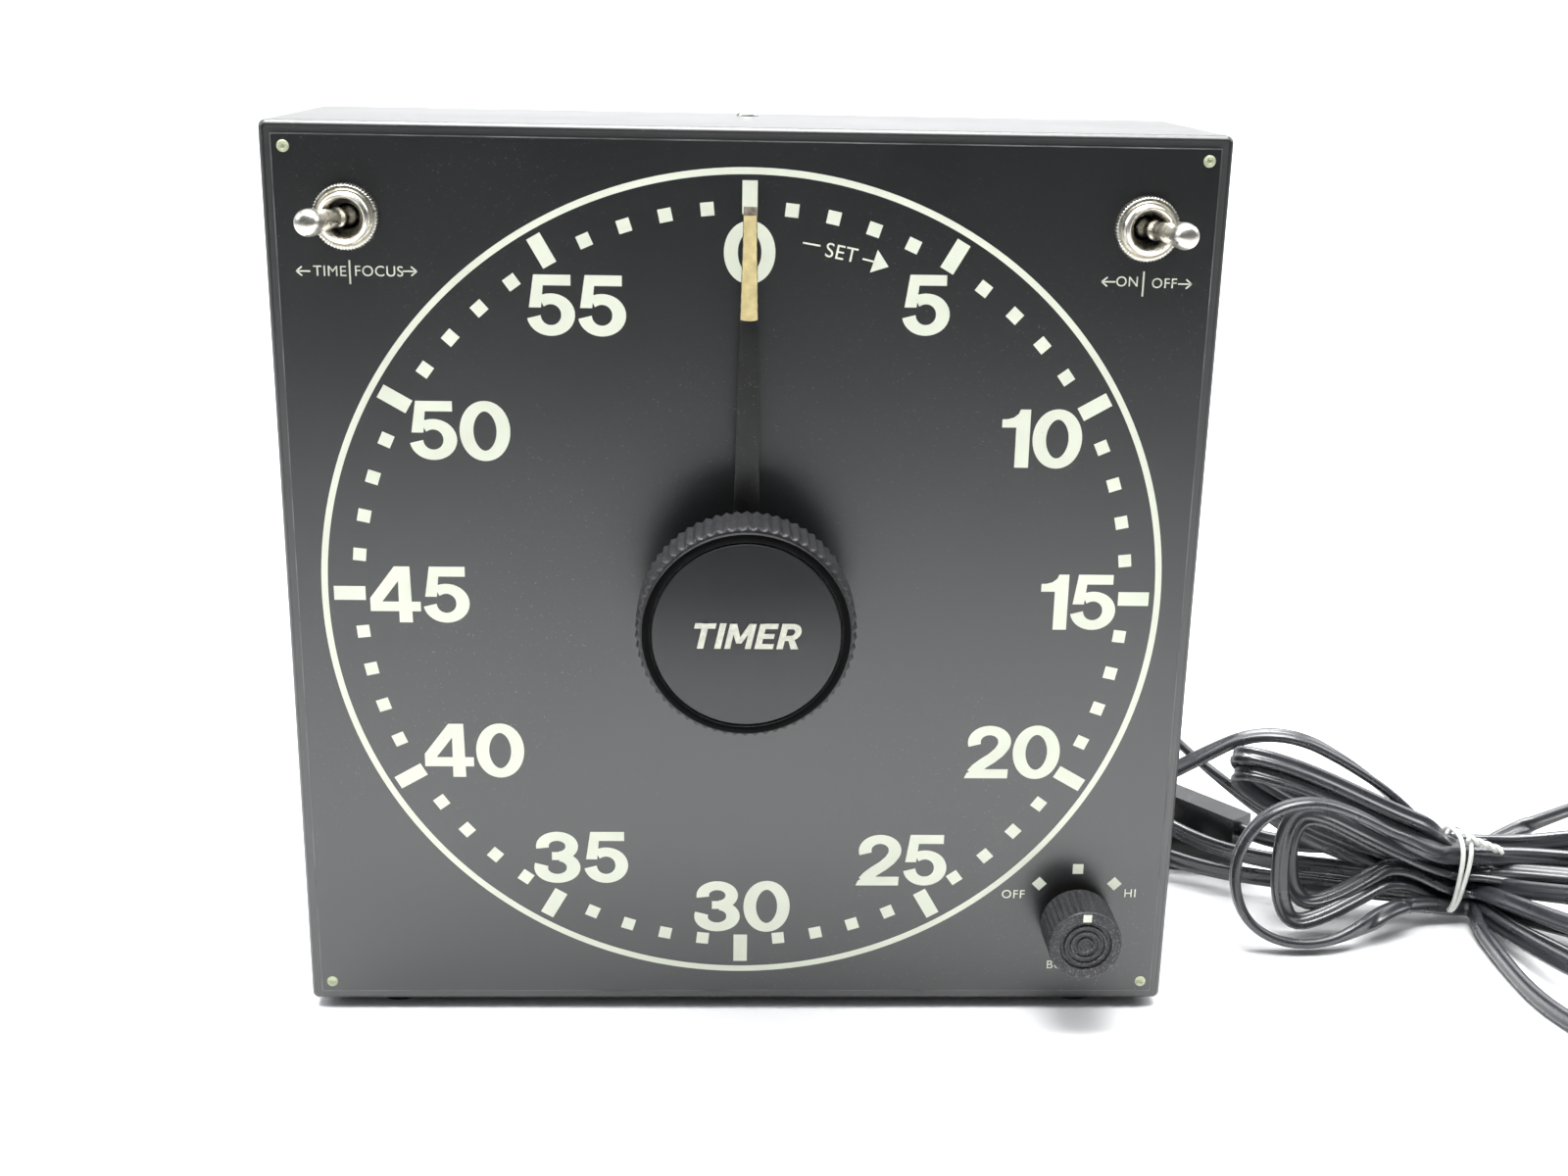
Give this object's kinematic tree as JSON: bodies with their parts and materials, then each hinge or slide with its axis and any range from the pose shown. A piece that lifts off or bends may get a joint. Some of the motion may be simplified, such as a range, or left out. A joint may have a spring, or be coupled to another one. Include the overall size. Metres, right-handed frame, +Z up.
{
  "type": "enlarger timer",
  "caption": "Square steel darkroom timer with a round minute dial, set knob, two hands, toggle switches, buzzer volume knob and a tied hank of two flat cords.",
  "frame": {"origin": "on the surface it stands on, under the centre of the box of the timer without its cords", "axes": "+X to the right seen from the dial, +Y from the dial to the back, +Z up"},
  "size_m": [0.4112, 0.1816, 0.2322],
  "materials": {
    "case_paint": "satin black enamel",
    "dial_paint": "satin black",
    "rivet": "painted over with luminous cream",
    "zinc": "zinc plated",
    "chrome": "bright",
    "rubber": "matt",
    "knob": "moulded phenolic",
    "emblem": "satin",
    "hand": "black, luminous yellow tip",
    "steel": "turned",
    "brass": "machined",
    "phenolic": "moulded",
    "coil": "taped winding",
    "cord": "semi-gloss vinyl",
    "plug": "moulded vinyl",
    "tie": "plastic covered wire"
  },
  "bodies": {
    "root": {"front_shell": "case_paint", "dial_plate": "dial_paint", "dial_rivets": "rivet", "rear_cover": "case_paint", "cover_screws": "zinc", "rubber_feet": "rubber", "centre_bushing": "brass", "centre_nut": "brass", "front_plate": "brass", "back_plate": "brass", "plate_pillars": "steel", "mounting_posts": "steel", "motor_can": "zinc", "motor_coil": "coil", "cutoff_switch": "phenolic", "volume_bushing": "brass", "buzzer_yoke": "steel", "buzzer_coil": "coil", "focus_switch_bushing": "chrome", "focus_switch_nut": "chrome", "focus_switch_body": "phenolic", "power_switch_bushing": "chrome", "power_switch_nut": "chrome", "power_switch_body": "phenolic", "terminal_strip": "phenolic", "line_strain_relief": "plug", "load_strain_relief": "plug", "line_cord_lead": "cord", "line_cord_loop": "cord", "line_cord_tail": "cord", "load_cord_lead": "cord", "load_cord_tail": "cord", "cord_hank": "cord", "twist_tie": "tie", "line_plug": "plug", "plug_blades": "brass", "load_connector": "plug"},
    "seconds_train": {"main_knob": "knob", "knob_cap": "knob", "knob_emblem": "emblem", "seconds_hand": "hand", "seconds_arbor": "steel", "clutch_spring": "steel"},
    "minute_train": {"minute_hand": "hand", "minute_tube": "brass", "minute_wheel": "brass", "zero_cam": "brass"},
    "middle_train": {"middle_wheel": "brass", "middle_arbor": "steel"},
    "clutch": {"clutch_wheel": "brass"},
    "motor_output": {"motor_pinion": "steel"},
    "rotor": {"motor_rotor": "steel"},
    "cutoff": {"cutoff_lever": "steel"},
    "volume": {"volume_knob": "knob", "volume_shaft": "brass", "volume_cam": "phenolic"},
    "armature": {"buzzer_armature": "steel"},
    "focus_lever": {"focus_switch_lever": "chrome"},
    "power_lever": {"power_switch_lever": "chrome"}
  },
  "joints": [
    {"name": "knob_turn", "type": "hinge", "parent": "root", "child": "seconds_train", "pos_m": [0, -0.0191, 0.1168], "axis": [0, 1, 0], "range_deg": [0, 21360]},
    {"name": "minute_turn", "type": "hinge", "parent": "root", "child": "minute_train", "pos_m": [0, -0.0191, 0.1168], "axis": [0, 1, 0], "range_deg": [0, 356]},
    {"name": "middle_turn", "type": "hinge", "parent": "root", "child": "middle_train", "pos_m": [0.018, -0.0191, 0.1168], "axis": [0, 1, 0], "range_deg": [-2670, 0]},
    {"name": "rotor_spin", "type": "hinge", "parent": "root", "child": "rotor", "pos_m": [0, -0.0191, 0.0868], "axis": [0, 1, 0], "continuous": true},
    {"name": "motor_output_spin", "type": "hinge", "parent": "root", "child": "motor_output", "pos_m": [0, -0.0191, 0.0988], "axis": [0, 1, 0], "continuous": true},
    {"name": "clutch_spin", "type": "hinge", "parent": "root", "child": "clutch", "pos_m": [0, -0.0191, 0.1168], "axis": [0, 1, 0], "continuous": true},
    {"name": "cutoff_press", "type": "hinge", "parent": "root", "child": "cutoff", "pos_m": [-0.0142, -0.0091, 0.1328], "axis": [0, 1, 0], "range_deg": [-3, 0], "stiffness_Nm_per_rad": 0.02},
    {"name": "volume_turn", "type": "hinge", "parent": "root", "child": "volume", "pos_m": [0.0892, -0.0191, 0.0277], "axis": [0, 1, 0], "range_deg": [-45, 45]},
    {"name": "armature_buzz", "type": "hinge", "parent": "root", "child": "armature", "pos_m": [0.0435, 0.0089, 0.038], "axis": [0, 1, 0], "range_deg": [-1.5, 0], "stiffness_Nm_per_rad": 0.2},
    {"name": "focus_flip", "type": "hinge", "parent": "root", "child": "focus_lever", "pos_m": [-0.0946, -0.0171, 0.2093], "axis": [0, 0, 1], "range_deg": [0, 35.4]},
    {"name": "power_flip", "type": "hinge", "parent": "root", "child": "power_lever", "pos_m": [0.0946, -0.0171, 0.2093], "axis": [0, 0, 1], "range_deg": [-35.4, 0]}
  ],
  "couplings": [
    {"joint": "minute_turn", "follows": "knob_turn", "ratio": 0.016667},
    {"joint": "middle_turn", "follows": "knob_turn", "ratio": -0.125},
    {"joint": "motor_output_spin", "follows": "rotor_spin", "ratio": 0.013333},
    {"joint": "clutch_spin", "follows": "rotor_spin", "ratio": -0.0033333}
  ]
}
